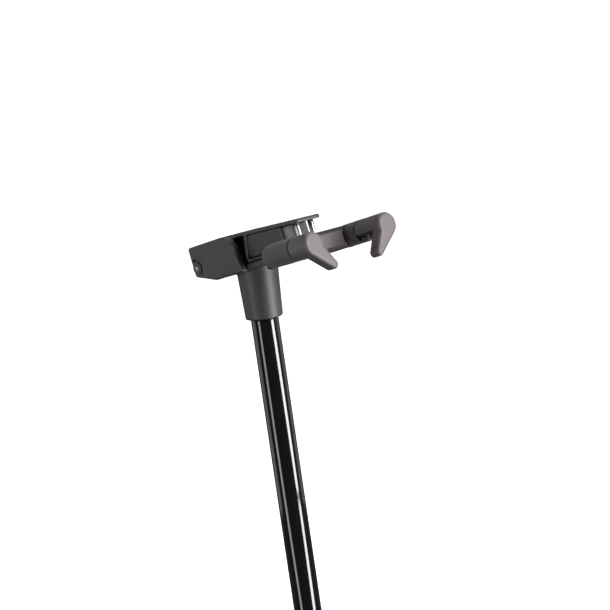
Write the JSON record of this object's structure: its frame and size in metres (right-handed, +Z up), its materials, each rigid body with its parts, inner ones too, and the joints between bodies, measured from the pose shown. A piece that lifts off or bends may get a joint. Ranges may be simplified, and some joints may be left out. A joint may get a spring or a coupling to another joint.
{
  "type": "guitar stand hanger head",
  "caption": "Guitar hanger head on a post tube: folding head, padded yoke that drops under load, and gates that close over the neck.",
  "frame": {"origin": "centre of the post tube's lower end face", "axes": "+Z up along the post tube, +Y to the back, +X to the right arm; the yoke's arms point to -Y"},
  "size_m": [0.085, 0.1479, 0.3389],
  "materials": {
    "tube_gloss_black": "gloss black powder coat",
    "housing_plastic": "fine matte moulding grain, dark grey",
    "nylon_black": "satin black nylon",
    "nylon_natural": "natural nylon",
    "steel_black": "black oxide",
    "steel_zinc": "zinc plated",
    "steel_bright": "ground bright",
    "spring_steel": "drawn spring wire",
    "stem_cast": "die casting, satin dark grey",
    "frame_cast": "die casting, satin dark grey",
    "rubber_black": "matte",
    "arm_rubber": "fine matte foam rubber, warm dark grey",
    "gate_rubber": "fine matte rubber, warm dark grey"
  },
  "bodies": {
    "post": {"post_tube": "tube_gloss_black", "tube_end_plug": "nylon_black", "tube_insert": "nylon_black", "collar_screws": "steel_black", "collar": "housing_plastic", "hinge_bushes": "nylon_natural", "rest_bumpers": "rubber_black"},
    "head": {"head_housing": "housing_plastic", "yoke_stem": "stem_cast", "stem_screws": "steel_zinc", "hinge_pin": "steel_bright", "hinge_washers": "housing_plastic", "cam_bar": "steel_zinc", "cam_screws": "steel_zinc", "guide_pins": "steel_bright", "return_springs": "spring_steel"},
    "yoke": {"yoke_frame": "frame_cast", "crossbar_pad": "arm_rubber", "cover_screws": "steel_zinc", "guide_bushes": "nylon_natural", "shaft_bushes": "nylon_natural", "arm_foam_left": "arm_rubber", "arm_foam_right": "arm_rubber", "crossbar_cover_left": "housing_plastic", "crossbar_cover_right": "housing_plastic", "gate_stop_left": "arm_rubber", "gate_stop_right": "arm_rubber"},
    "gate_left": {"gate_shaft_left": "steel_bright", "crank_left": "steel_zinc", "crank_pin_left": "steel_zinc", "roll_pin_left": "steel_zinc", "gate_core_left": "nylon_black", "gate_pad_left": "gate_rubber"},
    "gate_right": {"gate_shaft_right": "steel_bright", "crank_right": "steel_zinc", "crank_pin_right": "steel_zinc", "roll_pin_right": "steel_zinc", "gate_core_right": "nylon_black", "gate_pad_right": "gate_rubber"}
  },
  "joints": [
    {"name": "head_fold", "type": "hinge", "parent": "post", "child": "head", "pos_m": [0, 0.0389, 0.30759], "axis": [-1, 0, 0], "range_deg": [0, 90]},
    {"name": "yoke_rise", "type": "slide", "parent": "head", "child": "yoke", "axis": [0, 0.2079, 0.9781], "range_m": [0, 0.00703], "stiffness_N_per_m": 220, "springref_m": 0.03, "deforming": ["return_springs"]},
    {"name": "gate_left_swing", "type": "hinge", "parent": "yoke", "child": "gate_left", "pos_m": [-0.03425, -0.07763, 0.32357], "axis": [0, 0.9781, -0.2079], "range_deg": [0, 46]},
    {"name": "gate_right_swing", "type": "hinge", "parent": "yoke", "child": "gate_right", "pos_m": [0.03425, -0.07763, 0.32357], "axis": [0, -0.9781, 0.2079], "range_deg": [0, 46]}
  ],
  "couplings": [
    {"joint": "gate_left_swing", "follows": "yoke_rise", "rad_per_m": 114.15},
    {"joint": "gate_right_swing", "follows": "yoke_rise", "rad_per_m": 114.15}
  ]
}
